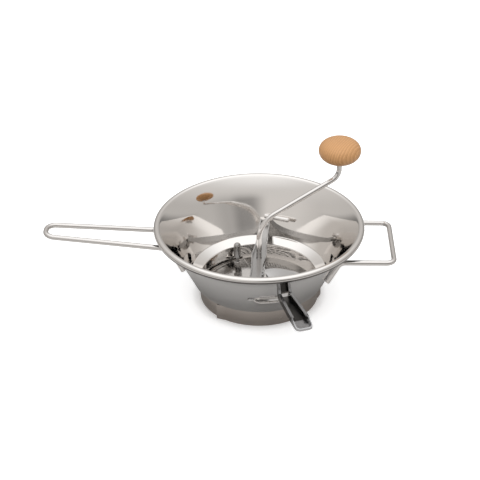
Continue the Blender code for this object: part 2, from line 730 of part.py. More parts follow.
knob_middle = 0.5 * (knob_low + knob_high)
knob_half = 0.5 * (knob_high - knob_low)
knob_bore = SPINDLE_RADIUS + KNOB_PLAY
knob_profile = [(0.0, knob_high)]
knob_profile += [(KNOB_RADIUS * out, knob_middle + knob_half * up) for up, out in knob_shares]
knob_profile += [(KNOB_NECK, knob_low), (knob_bore, knob_low), (knob_bore, pocket_low),
                 (POCKET_RADIUS, pocket_low), (POCKET_RADIUS, pocket_high), (0.0, pocket_high)]
knob = turned("knob", knob_profile, KNOB_STEPS, BEECH)
collar = ring("knob_collar", bore, COLLAR_RADIUS, knob_low - CLEARANCE - COLLAR_THICK, COLLAR_THICK,
              SEAT_STEPS, POLISHED)
clip = ring("knob_clip", bore, CLIP_RADIUS, pocket_low + CLEARANCE, CLIP_THICK, SEAT_STEPS, POLISHED)
for piece in (knob, collar, clip):
    piece.location = (knob_x, knob_y, 0)


# Guide stud: a round headed post on a star shaped washer, on the blade's trailing corner
STUD_RADIUS = 4.3 * MM
SHANK_RADIUS = 2.0 * MM
STUD_DROP = 10.5 * MM
HEAD_LOW = 17.0 * MM
STUD_INSET = 4.7 * MM
STUD_ANGLE = math.radians(116.5)
STUD_STEPS = 18
STAR_OUT = 4.6 * MM
STAR_IN = 3.0 * MM
STAR_THICK = 1.0 * MM
STAR_POINTS = 5

stud_out = blade_radius - STUD_INSET
stud_high = BAR_LOW - STUD_DROP
stud_place = (stud_out * math.cos(STUD_ANGLE), stud_out * math.sin(STUD_ANGLE), 0)
star_low = blade_height(stud_out - STAR_OUT, 0.0) + BLADE_THICK + CLEARANCE
star_outline = []
for k in range(2 * STAR_POINTS):
    reach = STAR_IN if k % 2 else STAR_OUT
    turn = math.pi * k / STAR_POINTS
    star_outline.append((reach * math.cos(turn), reach * math.sin(turn)))
star = plate("star_washer", [star_outline], star_low, star_low + STAR_THICK, POLISHED)
shank_low = star_low + STAR_THICK + CLEARANCE
stud = turned("guide_stud", dome_end(STUD_RADIUS, stud_high) + [
    (STUD_RADIUS, HEAD_LOW), (SHANK_RADIUS, HEAD_LOW), (SHANK_RADIUS, shank_low), (0.0, shank_low)],
    STUD_STEPS, SATIN)
for piece in (star, stud):
    piece.location = stud_place


# The whole mill is moved level until its box is centred on the origin
for tool in list(guides.objects):
    bpy.data.objects.remove(tool, do_unlink=True)
bpy.context.view_layer.update()
spots = [thing.matrix_world @ vert.co for thing in parts.objects for vert in thing.data.vertices]
shift_x = -0.5 * (min(spot.x for spot in spots) + max(spot.x for spot in spots))
shift_y = -0.5 * (min(spot.y for spot in spots) + max(spot.y for spot in spots))
for thing in parts.objects:
    thing.location.x += shift_x
    thing.location.y += shift_y
print("bowl axis at X %.3f mm, Y %.3f mm" % (shift_x / MM, shift_y / MM))
bpy.context.view_layer.update()
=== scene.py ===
import math

import bmesh
import bpy
from mathutils import Matrix, Vector


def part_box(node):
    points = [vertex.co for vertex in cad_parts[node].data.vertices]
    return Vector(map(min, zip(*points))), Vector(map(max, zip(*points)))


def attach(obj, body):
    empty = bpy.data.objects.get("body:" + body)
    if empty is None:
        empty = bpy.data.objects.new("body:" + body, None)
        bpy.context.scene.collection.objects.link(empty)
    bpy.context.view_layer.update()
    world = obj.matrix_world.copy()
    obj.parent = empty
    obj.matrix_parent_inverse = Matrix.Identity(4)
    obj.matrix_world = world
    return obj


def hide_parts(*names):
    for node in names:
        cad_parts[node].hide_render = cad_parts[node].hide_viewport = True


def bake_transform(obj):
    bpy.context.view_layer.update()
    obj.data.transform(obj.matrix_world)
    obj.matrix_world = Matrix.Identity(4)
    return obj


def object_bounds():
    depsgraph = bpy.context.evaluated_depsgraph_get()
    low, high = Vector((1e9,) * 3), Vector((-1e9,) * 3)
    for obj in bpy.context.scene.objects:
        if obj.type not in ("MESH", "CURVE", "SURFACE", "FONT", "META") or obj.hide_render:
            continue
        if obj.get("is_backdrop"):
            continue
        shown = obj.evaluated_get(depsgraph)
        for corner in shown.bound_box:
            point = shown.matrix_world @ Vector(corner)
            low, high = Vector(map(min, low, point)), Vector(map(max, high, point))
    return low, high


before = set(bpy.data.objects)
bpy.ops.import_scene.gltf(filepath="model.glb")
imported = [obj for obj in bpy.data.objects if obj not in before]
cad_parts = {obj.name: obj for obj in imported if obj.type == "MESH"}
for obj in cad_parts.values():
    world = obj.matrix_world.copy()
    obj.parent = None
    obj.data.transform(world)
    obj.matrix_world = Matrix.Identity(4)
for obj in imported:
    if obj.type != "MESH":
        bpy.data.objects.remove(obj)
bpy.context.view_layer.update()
MM = 0.001
bowl_low, bowl_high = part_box("bowl")
axis = Vector((0.5 * (bowl_low.x + bowl_high.x), 0.5 * (bowl_low.y + bowl_high.y), 0.0))


# Camera: stands in front of the mill and looks down at the middle of the bowl.
# Its small shift puts the mill where the photograph has it.
camera_tilt = math.radians(31.7)
camera_distance = 1.6
aim_height = 60 * MM
camera_data = bpy.data.cameras.new("camera")
camera_data.sensor_width = 36
camera_data.lens = 104.3
camera_data.shift_x = -0.0396
camera_data.shift_y = 0.0181
camera = bpy.data.objects.new("camera", camera_data)
camera.location = axis + Vector((0, -camera_distance * math.cos(camera_tilt),
                                 aim_height + camera_distance * math.sin(camera_tilt)))
camera.rotation_euler = (math.radians(90) - camera_tilt, 0, 0)
bpy.context.scene.collection.objects.link(camera)
bpy.context.scene.camera = camera


# Floor: a plain pale board that the mill stands on. It shows white to the camera, with a painted glow that
# fades out towards the base, and keeps the mill's shadow. Steel mirrors it with painted shade near the
# base, and darker far away.
# Under the base, where only the sieve's holes show it, it is painted dark as shade.
floor_radius = 5.0
cover_start = 61 * MM
base_edge = 64 * MM
shadow_end = 80 * MM
floor_skin = bpy.data.materials.new("floor_white")
floor_skin.use_nodes = True
nodes = floor_skin.node_tree.nodes
links = floor_skin.node_tree.links
shader = nodes["Principled BSDF"]
shader.inputs["Roughness"].default_value = 0.9
shader.inputs["Specular IOR Level"].default_value = 0.0
where = nodes.new("ShaderNodeTexCoord")
centred = nodes.new("ShaderNodeVectorMath")
centred.operation = "DISTANCE"
centred.inputs[1].default_value = axis
# Painted shade: what steel mirrors of the floor is darker near the base, lightest just beyond it, and
# darker again far away.
painted_floor_shade = nodes.new("ShaderNodeValToRGB")
painted_floor_shade.color_ramp.elements[0].position = 0.078
painted_floor_shade.color_ramp.elements[0].color = (0.46, 0.45, 0.44, 1)
near = painted_floor_shade.color_ramp.elements.new(0.108)
near.color = (0.68, 0.665, 0.65, 1)
painted_floor_shade.color_ramp.elements[2].position = 0.9
painted_floor_shade.color_ramp.elements[2].color = (0.30, 0.29, 0.28, 1)
# Painted glow: for the camera the floor glows, from nothing at the base's edge up to full strength where
# the shadow ends.
painted_glow_share = nodes.new("ShaderNodeMapRange")
painted_glow_share.inputs["From Min"].default_value = base_edge
painted_glow_share.inputs["From Max"].default_value = shadow_end
painted_glow_share.inputs["To Max"].default_value = 0.45
# Painted shade: inside the base's edge the floor's colour is scaled down to a tenth, for every ray.
painted_shade_under_base = nodes.new("ShaderNodeMapRange")
painted_shade_under_base.inputs["From Min"].default_value = cover_start
painted_shade_under_base.inputs["From Max"].default_value = base_edge
painted_shade_under_base.inputs["To Min"].default_value = 0.1
darkened = nodes.new("ShaderNodeVectorMath")
darkened.operation = "SCALE"
rays = nodes.new("ShaderNodeLightPath")
tone = nodes.new("ShaderNodeMix")
tone.data_type = "RGBA"
tone.inputs["B"].default_value = (1.0, 1.0, 1.0, 1)
# Painted glow, for camera rays only.
painted_glow = nodes.new("ShaderNodeMath")
painted_glow.operation = "MULTIPLY"
shader.inputs["Emission Color"].default_value = (1.0, 1.0, 1.0, 1)
links.new(where.outputs["Object"], centred.inputs[0])
links.new(centred.outputs["Value"], painted_floor_shade.inputs["Fac"])
links.new(centred.outputs["Value"], painted_glow_share.inputs["Value"])
links.new(painted_floor_shade.outputs["Color"], tone.inputs["A"])
links.new(rays.outputs["Is Camera Ray"], tone.inputs["Factor"])
links.new(centred.outputs["Value"], painted_shade_under_base.inputs["Value"])
links.new(tone.outputs["Result"], darkened.inputs[0])
links.new(painted_shade_under_base.outputs["Result"], darkened.inputs["Scale"])
links.new(darkened.outputs["Vector"], shader.inputs["Base Color"])
links.new(rays.outputs["Is Camera Ray"], painted_glow.inputs[0])
links.new(painted_glow_share.outputs["Result"], painted_glow.inputs[1])
links.new(painted_glow.outputs["Value"], shader.inputs["Emission Strength"])
work = bmesh.new()
bmesh.ops.create_circle(work, cap_ends=True, segments=96, radius=floor_radius)
floor_mesh = bpy.data.meshes.new("floor")
work.to_mesh(floor_mesh)
work.free()
floor_mesh.materials.append(floor_skin)
floor = bpy.data.objects.new("floor", floor_mesh)
bpy.context.scene.collection.objects.link(floor)
floor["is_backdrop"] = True


# Studio light: one broad soft box overhead, in an even white room.
# What the polished steel mirrors is a ramp of grey by height, with one darker stretch of wall
# low down beside the camera, and a ceiling that brightens softly overhead.
world = bpy.data.worlds.new("room")
bpy.context.scene.world = world
world.use_nodes = True
nodes = world.node_tree.nodes
links = world.node_tree.links
backdrop = nodes["Background"]
direction = nodes.new("ShaderNodeTexCoord")
parts = nodes.new("ShaderNodeSeparateXYZ")
links.new(direction.outputs["Generated"], parts.inputs["Vector"])
bearing = nodes.new("ShaderNodeMath")
bearing.operation = "ARCTAN2"
links.new(parts.outputs["Y"], bearing.inputs[0])
links.new(parts.outputs["X"], bearing.inputs[1])
bearing_share = nodes.new("ShaderNodeMapRange")
bearing_share.inputs["From Min"].default_value = -math.pi
bearing_share.inputs["From Max"].default_value = math.pi
links.new(bearing.outputs["Value"], bearing_share.inputs["Value"])


def toned_ramp(stops):
    # Stops are places from 0 to 1 with a grey level or a colour each.
    made = nodes.new("ShaderNodeValToRGB")
    ramp = made.color_ramp
    ramp.interpolation = "EASE"
    ramp.elements.remove(ramp.elements[1])
    for number, (spot, level) in enumerate(stops):
        stop = ramp.elements[0] if number == 0 else ramp.elements.new(spot)
        stop.position = spot
        stop.color = (*level, 1) if isinstance(level, tuple) else (level, level, level, 1)
    return made


height_ramp = toned_ramp(((0.0, (0.29, 0.28, 0.27)), (0.04, (0.31, 0.30, 0.29)),
                          (0.2, (0.74, 0.715, 0.69)), (0.5, (0.72, 0.70, 0.68)),
                          (0.8, (0.74, 0.73, 0.72)), (0.95, 0.85)))
links.new(parts.outputs["Z"], height_ramp.inputs["Fac"])
side_ramp = toned_ramp(((0.0, 0.85), (0.12, 1.0), (0.21, 1.0), (0.285, 0.36), (0.32, 0.36),
                        (0.37, 0.62), (0.45, 0.75), (0.6, 0.75), (0.75, 0.7), (1.0, 0.85)))
links.new(bearing_share.outputs["Result"], side_ramp.inputs["Fac"])
low_down = nodes.new("ShaderNodeMapRange")
low_down.interpolation_type = "SMOOTHSTEP"
low_down.inputs["From Min"].default_value = 0.3
low_down.inputs["From Max"].default_value = 0.62
low_down.inputs["To Min"].default_value = 1.0
low_down.inputs["To Max"].default_value = 0.0
links.new(parts.outputs["Z"], low_down.inputs["Value"])
walls = nodes.new("ShaderNodeMix")
walls.data_type = "RGBA"
walls.blend_type = "MULTIPLY"
links.new(low_down.outputs["Result"], walls.inputs["Factor"])
links.new(height_ramp.outputs["Color"], walls.inputs["A"])
links.new(side_ramp.outputs["Color"], walls.inputs["B"])
overhead = nodes.new("ShaderNodeMapRange")
overhead.interpolation_type = "SMOOTHSTEP"
overhead.inputs["From Min"].default_value = 0.58
overhead.inputs["From Max"].default_value = 0.93
links.new(parts.outputs["Z"], overhead.inputs["Value"])
ceiling = nodes.new("ShaderNodeMix")
ceiling.data_type = "RGBA"
ceiling.inputs["B"].default_value = (1.3, 1.3, 1.3, 1)
links.new(overhead.outputs["Result"], ceiling.inputs["Factor"])
links.new(walls.outputs["Result"], ceiling.inputs["A"])
rays = nodes.new("ShaderNodeLightPath")
mirrored = nodes.new("ShaderNodeMix")
mirrored.data_type = "RGBA"
mirrored.inputs["A"].default_value = (0.8, 0.8, 0.8, 1)
links.new(rays.outputs["Is Glossy Ray"], mirrored.inputs["Factor"])
links.new(ceiling.outputs["Result"], mirrored.inputs["B"])
seen = nodes.new("ShaderNodeMix")
seen.data_type = "RGBA"
seen.inputs["B"].default_value = (1, 1, 1, 1)
links.new(rays.outputs["Is Camera Ray"], seen.inputs["Factor"])
links.new(mirrored.outputs["Result"], seen.inputs["A"])
links.new(seen.outputs["Result"], backdrop.inputs["Color"])
lamp = bpy.data.lights.new("soft_box_over", "AREA")
lamp.shape = "RECTANGLE"
lamp.size = 1.9
lamp.size_y = 1.3
lamp.energy = 10
box = bpy.data.objects.new("soft_box_over", lamp)
box.location = (0.0, -0.45, 1.5)
box.visible_camera = False
box.visible_glossy = False
bpy.context.scene.collection.objects.link(box)
bpy.context.scene.view_settings.view_transform = "Standard"


# Bowl: one sheet of stainless steel, spun to a cone with a bevelled shoulder and a straight skirt.
# Its rim is rolled and its inside is mirror polished. The crossbar's front tongue locks in the
# slot in its front wall.
def filleted(points, radii, steps):
    # Rounds each inner corner of a line with an arc of its own radius.
    path = [Vector(points[0])]
    for before, corner, after, radius in zip(points, points[1:], points[2:], radii):
        corner = Vector(corner)
        back = (Vector(before) - corner).normalized()
        ahead = (Vector(after) - corner).normalized()
        half = 0.5 * back.angle(ahead)
        middle = corner + (back + ahead).normalized() * (radius / math.sin(half))
        start = corner + back * (radius / math.tan(half)) - middle
        end = corner + ahead * (radius / math.tan(half)) - middle
        sweep = start.angle(end)
        for k in range(steps + 1):
            turn = sweep * k / steps
            path.append(middle + start * (math.sin(sweep - turn) / math.sin(sweep))
                        + end * (math.sin(turn) / math.sin(sweep)))
    path.append(Vector(points[-1]))
    return path


weld_distance = 0.002 * MM


def turned(profile, steps):
    # Spins a line of radius and height round the Z axis.
    work = bmesh.new()
    verts = [work.verts.new((radius, 0, height)) for radius, height in profile]
    edges = [work.edges.new(pair) for pair in zip(verts, verts[1:])]
    bmesh.ops.spin(work, geom=verts + edges, axis=(0, 0, 1), cent=(0, 0, 0), angle=2 * math.pi,
                   steps=steps, use_merge=True)
    bmesh.ops.remove_doubles(work, verts=work.verts, dist=weld_distance)
    bmesh.ops.recalc_face_normals(work, faces=work.faces)
    return work


def shown(name, work, skins, sharp=40):
    # Makes the finished mesh an object that stays at the origin.
    mesh = bpy.data.meshes.new(name)
    work.to_mesh(mesh)
    work.free()
    for skin in skins:
        mesh.materials.append(skin)
    mesh.shade_smooth()
    mesh.set_sharp_from_angle(angle=math.radians(sharp))
    piece = bpy.data.objects.new(name, mesh)
    bpy.context.scene.collection.objects.link(piece)
    return piece


# Two effects that most of the steel shares: fine rings left by turning, and faint marks of handling.
turning = bpy.data.node_groups.new("turning_rings", "ShaderNodeTree")
turning.interface.new_socket("Place", in_out="INPUT", socket_type="NodeSocketVector")
turning.interface.new_socket("Fineness", in_out="INPUT", socket_type="NodeSocketFloat")
turning.interface.new_socket("Rings", in_out="OUTPUT", socket_type="NodeSocketFloat")
inside = turning.nodes.new("NodeGroupInput")
outside = turning.nodes.new("NodeGroupOutput")
split = turning.nodes.new("ShaderNodeSeparateXYZ")
flat = turning.nodes.new("ShaderNodeCombineXYZ")
span = turning.nodes.new("ShaderNodeVectorMath")
span.operation = "LENGTH"
join = turning.nodes.new("ShaderNodeCombineXYZ")
rings = turning.nodes.new("ShaderNodeTexNoise")
rings.inputs["Detail"].default_value = 4
rings.inputs["Roughness"].default_value = 0.7
turning.links.new(inside.outputs["Place"], split.inputs["Vector"])
turning.links.new(split.outputs["X"], flat.inputs["X"])
turning.links.new(split.outputs["Y"], flat.inputs["Y"])
turning.links.new(flat.outputs["Vector"], span.inputs[0])
turning.links.new(span.outputs["Value"], join.inputs["X"])
turning.links.new(split.outputs["Z"], join.inputs["Y"])
turning.links.new(join.outputs["Vector"], rings.inputs["Vector"])
turning.links.new(inside.outputs["Fineness"], rings.inputs["Scale"])
turning.links.new(rings.outputs["Fac"], outside.inputs["Rings"])

marks = bpy.data.node_groups.new("handling_marks", "ShaderNodeTree")
marks.interface.new_socket("Place", in_out="INPUT", socket_type="NodeSocketVector")
marks.interface.new_socket("Clean Roughness", in_out="INPUT", socket_type="NodeSocketFloat")
marks.interface.new_socket("Smeared Roughness", in_out="INPUT", socket_type="NodeSocketFloat")
marks.interface.new_socket("Roughness", in_out="OUTPUT", socket_type="NodeSocketFloat")
marks.interface.new_socket("Waves", in_out="OUTPUT", socket_type="NodeSocketFloat")
inside = marks.nodes.new("NodeGroupInput")
outside = marks.nodes.new("NodeGroupOutput")
smears = marks.nodes.new("ShaderNodeTexNoise")
smears.inputs["Scale"].default_value = 38
smears.inputs["Detail"].default_value = 6
smears.inputs["Roughness"].default_value = 0.65
spread = marks.nodes.new("ShaderNodeMapRange")
spread.inputs["From Min"].default_value = 0.42
spread.inputs["From Max"].default_value = 0.7
waves = marks.nodes.new("ShaderNodeTexNoise")
waves.inputs["Scale"].default_value = 22
waves.inputs["Detail"].default_value = 1
marks.links.new(inside.outputs["Place"], smears.inputs["Vector"])
marks.links.new(inside.outputs["Place"], waves.inputs["Vector"])
marks.links.new(smears.outputs["Fac"], spread.inputs["Value"])
marks.links.new(inside.outputs["Clean Roughness"], spread.inputs["To Min"])
marks.links.new(inside.outputs["Smeared Roughness"], spread.inputs["To Max"])
marks.links.new(spread.outputs["Result"], outside.inputs["Roughness"])
marks.links.new(waves.outputs["Fac"], outside.inputs["Waves"])


def steel(name, color, clean, smeared, wave, ring, fineness=900.0):
    # A stainless finish: wave and ring are the heights, in metres, of its dents and turning rings.
    skin = bpy.data.materials.new(name)
    skin.use_nodes = True
    nodes = skin.node_tree.nodes
    links = skin.node_tree.links
    shader = nodes["Principled BSDF"]
    shader.inputs["Base Color"].default_value = (*color, 1)
    shader.inputs["Metallic"].default_value = 1.0
    where = nodes.new("ShaderNodeTexCoord")
    centred = nodes.new("ShaderNodeMapping")
    centred.inputs["Location"].default_value = -axis
    worn = nodes.new("ShaderNodeGroup")
    worn.node_tree = marks
    worn.inputs["Clean Roughness"].default_value = clean
    worn.inputs["Smeared Roughness"].default_value = smeared
    lathe = nodes.new("ShaderNodeGroup")
    lathe.node_tree = turning
    lathe.inputs["Fineness"].default_value = fineness
    dents = nodes.new("ShaderNodeBump")
    dents.inputs["Distance"].default_value = wave
    lines = nodes.new("ShaderNodeBump")
    lines.inputs["Distance"].default_value = ring
    links.new(where.outputs["Object"], centred.inputs["Vector"])
    links.new(centred.outputs["Vector"], worn.inputs["Place"])
    links.new(centred.outputs["Vector"], lathe.inputs["Place"])
    links.new(worn.outputs["Waves"], dents.inputs["Height"])
    links.new(lathe.outputs["Rings"], lines.inputs["Height"])
    links.new(dents.outputs["Normal"], lines.inputs["Normal"])
    links.new(lines.outputs["Normal"], shader.inputs["Normal"])
    links.new(worn.outputs["Roughness"], shader.inputs["Roughness"])
    return skin


bowl_inside = steel("bowl_mirror_polish", (0.80, 0.775, 0.75), 0.035, 0.10, 0.12 * MM, 0.004 * MM)
bowl_outside = steel("bowl_outer_polish", (0.72, 0.715, 0.71), 0.07, 0.14, 0.12 * MM, 0.004 * MM)
# Painted shade: a dark steel for the rolled bead's underside.
bead_painted_shade = steel("bead_underside_painted_shade", (0.16, 0.15, 0.145), 0.12, 0.2, 0.05 * MM, 0.0)
bowl_steps = 360
sheet = 1.0 * MM
inner_lip = Vector((60.5 * MM, 6.0 * MM))
skirt_foot = Vector((66.6 * MM, 6.0 * MM))
skirt_top = Vector((66.6 * MM, 25.4 * MM))
shoulder = Vector((78.1 * MM, 31.0 * MM))
neck = Vector((97.2 * MM, 70.0 * MM))
bead_centre = Vector((116.1 * MM, 91.1 * MM))
bead_radius = 3.9 * MM
bead_first_deg = 140
bead_last_deg = -170
bead_step_deg = 10
painted_shade_below = 91.4 * MM
bend_rounds = (1.5 * MM, 2.0 * MM, 2.0 * MM)
flare_steps = 14
slot_low = 46.2 * MM
slot_high = 48.5 * MM
entry_high = 56.3 * MM
louvre_low = 43.4 * MM
louvre_out = 5.6 * MM
louvre_curve = 1.6
slot_deg = (-98, -69)
entry_deg = (-74, -69)
lip_rise_deg = (2.5, 9.5)
lip_fall_deg = (8, 2)
lip_rows = 8
cone_rows = (60 * MM, 65 * MM)
cone_reach = 93 * MM
bend_end = 3 * MM

run = (neck - shoulder).normalized()
across = Vector((run[1], -run[0]))
bead = [bead_centre + bead_radius * Vector((math.cos(math.radians(a)), math.sin(math.radians(a))))
        for a in range(bead_first_deg, bead_last_deg - 1, -bead_step_deg)]
# The flare is one smooth curve from the cone's direction to the bead's.
bead_first = math.radians(bead_first_deg)
bead_run = Vector((math.sin(bead_first), -math.cos(bead_first)))
knee = neck + run * ((bead[0] - neck).cross(bead_run) / run.cross(bead_run))
flare = []
for k in range(1, flare_steps):
    share = k / flare_steps
    flare.append(neck.lerp(knee, share).lerp(knee.lerp(bead[0], share), share))
line = filleted([inner_lip, skirt_foot, skirt_top, shoulder, neck], bend_rounds, 5)
wall = [point for point in line if point[1] < shoulder[1] + bend_end]
# The cone has rows of points through the lip, at the edges of the slot and its entry, and above.
heights = [louvre_low + (slot_low - louvre_low) * k / lip_rows for k in range(lip_rows + 1)]
heights += [slot_high, 0.5 * (slot_high + entry_high), entry_high, *cone_rows, neck[1]]
wall += [shoulder + run * ((height - shoulder[1]) / run[1]) for height in heights]
wall += flare + bead
work = turned(wall, bowl_steps)
# This is the sheet's polished side, so its faces look into the bowl.
sample = max(work.faces, key=lambda face: face.calc_area())
if sample.normal.z < 0:
    bmesh.ops.reverse_faces(work, faces=work.faces)


def degrees_of(point):
    return math.degrees(math.atan2(point.y, point.x))


def eased(value, low, high):
    share = min(1.0, max(0.0, (value - low) / (high - low)))
    return share * share * (3 - 2 * share)


cut = []
for face in work.faces:
    middle = face.calc_center_median()
    side = degrees_of(middle)
    in_slot = slot_low < middle.z < slot_high and slot_deg[0] < side < slot_deg[1]
    in_entry = slot_low < middle.z < entry_high and entry_deg[0] < side < entry_deg[1]
    if middle.xy.length < cone_reach and (in_slot or in_entry):
        cut.append(face)
bmesh.ops.delete(work, geom=cut, context="FACES")
# The sheet below the slot is pressed outwards into a lip that tapers at its ends.
for vert in work.verts:
    if louvre_low < vert.co.z < slot_low + 0.01 * MM and vert.co.xy.length < cone_reach:
        side = degrees_of(vert.co)
        climb = (vert.co.z - louvre_low) / (slot_low - louvre_low)
        first, last = slot_deg
        rise = eased(side, first + lip_rise_deg[0], first + lip_rise_deg[1])
        fall = eased(side, last - lip_fall_deg[0], last - lip_fall_deg[1])
        reach = rise * (1 - fall)
        out = louvre_out * reach * climb ** louvre_curve
        vert.co.x += out * math.cos(math.radians(side))
        vert.co.y += out * math.sin(math.radians(side))
# The underside of the rolled edge is painted darker, as shade in the crevice under the bead.
for face in work.faces:
    middle = face.calc_center_median()
    if middle.xy.length > bead_centre[0] - bead_radius and middle.z < painted_shade_below:
        face.material_index = 2
bmesh.ops.translate(work, verts=work.verts, vec=axis)
bowl = shown("bowl_shell", work, (bowl_inside, bowl_outside, bead_painted_shade))
wall_sheet = bowl.modifiers.new("sheet", "SOLIDIFY")
wall_sheet.thickness = sheet
wall_sheet.offset = -1.0
wall_sheet.material_offset = 1
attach(bowl, "mill_body")
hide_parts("bowl")


# Rear nib: a small steel stop welded inside the back wall.
# The crossbar's rear tongue sits under it, and turns out from under it when the crossbar is unlocked.
nib_low = 48.5 * MM
nib_high = 50.9 * MM
nib_in = 82.39 * MM
nib_first = 80
nib_last = 89


def swept_block(corners, first, last):
    # A closed section of radii and heights, swept from one whole degree to another.
    work = bmesh.new()
    turn = Matrix.Rotation(math.radians(first), 4, "Z")
    verts = [work.verts.new(turn @ Vector((radius, 0, height))) for radius, height in corners]
    section = work.faces.new(verts)
    bmesh.ops.spin(work, geom=[section, *section.verts, *section.edges], axis=(0, 0, 1), cent=(0, 0, 0),
                   angle=math.radians(last - first), steps=last - first)
    bmesh.ops.recalc_face_normals(work, faces=work.faces)
    return work


def softened(piece, width, segments, angle):
    edge = piece.modifiers.new("soft_edges", "BEVEL")
    edge.width = width
    edge.segments = segments
    edge.limit_method = "ANGLE"
    edge.angle_limit = math.radians(angle)


def cone_point(height, offset):
    # A point, at a height, on the line that lies the offset outside the cone's inner face.
    foot = shoulder + across * offset
    return foot + run * ((height - foot[1]) / run[1])


work = swept_block([(nib_in, nib_low), cone_point(nib_low, 0.5 * sheet),
                    cone_point(nib_high, 0.5 * sheet), (nib_in, nib_high)], nib_first, nib_last)
bmesh.ops.translate(work, verts=work.verts, vec=axis)
nib = shown("rear_nib", work, (bowl_inside,), 30)
softened(nib, 0.5 * MM, 3, 40)
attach(nib, "mill_body")


# Hem: the cone's outer sheet runs on below the shoulder and ends in a folded edge over the base.
# It is the same spun steel as the bowl, and hides where the skirt begins.
hem_low = 23.0 * MM
hem_high = 33.5 * MM
hem_fold = 0.35 * MM
hem_out = 0.98 * sheet
hem_top = cone_point(hem_high, hem_out)
hem_line = filleted([hem_top, cone_point(hem_low, hem_out), cone_point(hem_low, 0.0), shoulder],
                    (hem_fold, hem_fold), 4)
work = turned(hem_line + [cone_point(hem_high, 0.5 * sheet), hem_top], bowl_steps)
bmesh.ops.translate(work, verts=work.verts, vec=axis)
hem = shown("bowl_hem", work, (bowl_outside,), 50)
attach(hem, "mill_body")


# Base ring: a band of satin steel round the skirt, with a turned in foot that the mill stands on.
# Its front is a second strap laid round the first, whose two ends flare out.
band_skin = steel("band_satin", (0.66, 0.60, 0.555), 0.16, 0.28, 0.08 * MM, 0.01 * MM, 1500.0)
band_inner = 67.9 * MM
back_outer = 68.4 * MM
strap_outer = 68.9 * MM
flare_outer = 72.1 * MM
band_high = 18.7 * MM
foot_inner = 62.0 * MM
foot_thick = 1.2 * MM
strap_first = -132
strap_last = -3
strap_flare = 8
strap_lap = 0.1 * MM
band_rounds = (0.3 * MM, 0.5 * MM, 0.2 * MM, 0.2 * MM, 0.3 * MM)
band_corners = [(foot_inner, foot_thick), (foot_inner, 0), (back_outer, 0), (back_outer, band_high),
                (band_inner, band_high), (band_inner, foot_thick), (foot_inner, foot_thick)]
work = turned(filleted(band_corners, band_rounds, 4), bowl_steps)
bmesh.ops.translate(work, verts=work.verts, vec=axis)
base_ring = shown("base_band", work, (band_skin,))
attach(base_ring, "mill_body")
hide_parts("base_ring")

strap_in = back_outer - strap_lap
work = swept_block([(strap_in, 0), (strap_outer, 0), (strap_outer, band_high), (strap_in, band_high)],
                   strap_first, strap_last)
for vert in work.verts:
    side = degrees_of(vert.co)
    if vert.co.xy.length > back_outer:
        from_end = min(side - strap_first, strap_last - side)
        flared = max(0.0, 1 - from_end / strap_flare)
        vert.co.xy *= 1 + flared * (flare_outer - strap_outer) / strap_outer
bmesh.ops.translate(work, verts=work.verts, vec=axis)
strap = shown("front_strap", work, (band_skin,), 30)
softened(strap, 0.2 * MM, 3, 50)
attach(strap, "mill_body")


# Sieve disc: a shallow dome of thin steel, punched all over with fine holes whose walls are painted dark as
# shade.
# It lies loose on the bowl's inner lip, and its plain edge and centre carry no holes.
disc_skin = steel("disc_polish", (0.58, 0.56, 0.54), 0.14, 0.24, 0.02 * MM, 0.003 * MM)
# Painted shade: near black steel for the walls inside the holes.
hole_walls_painted_shade = steel("punched_hole_walls_painted_shade", (0.07, 0.065, 0.06), 0.3, 0.4, 0.0, 0.0)
disc_low = 6.3 * MM
disc_thick = 0.8 * MM
disc_radius = 66.3 * MM
dome_radius = 60.0 * MM
dome_rise = 3.0 * MM
holes_inner = 15.5 * MM
holes_outer = 56.0 * MM
hole_pitch = 2.9 * MM
hole_rib = 0.78 * MM
hole_rows_turn = math.radians(10)
hole_sheet_low = 0.15 * MM
hole_sheet_thick = disc_thick - 0.3 * MM
seam_outer = holes_outer - 0.6 * MM
seam_inner = holes_inner + 1.2 * MM
pivot = 4.5 * MM


def dome_lift(radius):
    share = min(radius / dome_radius, 1.0)
    return dome_rise * (1 - share * share)


def facing_up(work):
    # An open sheet's faces all look the same way; this makes that way up.
    bmesh.ops.recalc_face_normals(work, faces=work.faces)
    if sum(face.normal.z for face in work.faces) < 0:
        bmesh.ops.reverse_faces(work, faces=work.faces)


cells = int(2 * holes_outer / hole_pitch)
work = bmesh.new()
bmesh.ops.create_grid(work, x_segments=cells, y_segments=cells, size=0.5 * cells * hole_pitch,
                      matrix=Matrix.Rotation(hole_rows_turn, 4, "Z"))
far = [face for face in work.faces
       if not holes_inner < face.calc_center_median().length < holes_outer + 0.5 * MM]
bmesh.ops.delete(work, geom=far, context="FACES")
inset = bmesh.ops.inset_individual(work, faces=work.faces[:], thickness=hole_rib, depth=0.0)
rims = set(inset["faces"])
bmesh.ops.delete(work, geom=[face for face in work.faces if face not in rims], context="FACES")
for vert in work.verts:
    vert.co.z = disc_low + hole_sheet_low + dome_lift(vert.co.xy.length)
facing_up(work)
bmesh.ops.translate(work, verts=work.verts, vec=axis)
punched = shown("sieve_holes", work, (disc_skin, hole_walls_painted_shade), 60)
punched_sheet = punched.modifiers.new("sheet", "SOLIDIFY")
punched_sheet.thickness = hole_sheet_thick
punched_sheet.offset = 1.0
punched_sheet.material_offset_rim = 1
rounding = punched.modifiers.new("round_holes", "SUBSURF")
rounding.levels = 1
rounding.render_levels = 1
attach(punched, "mill_body")

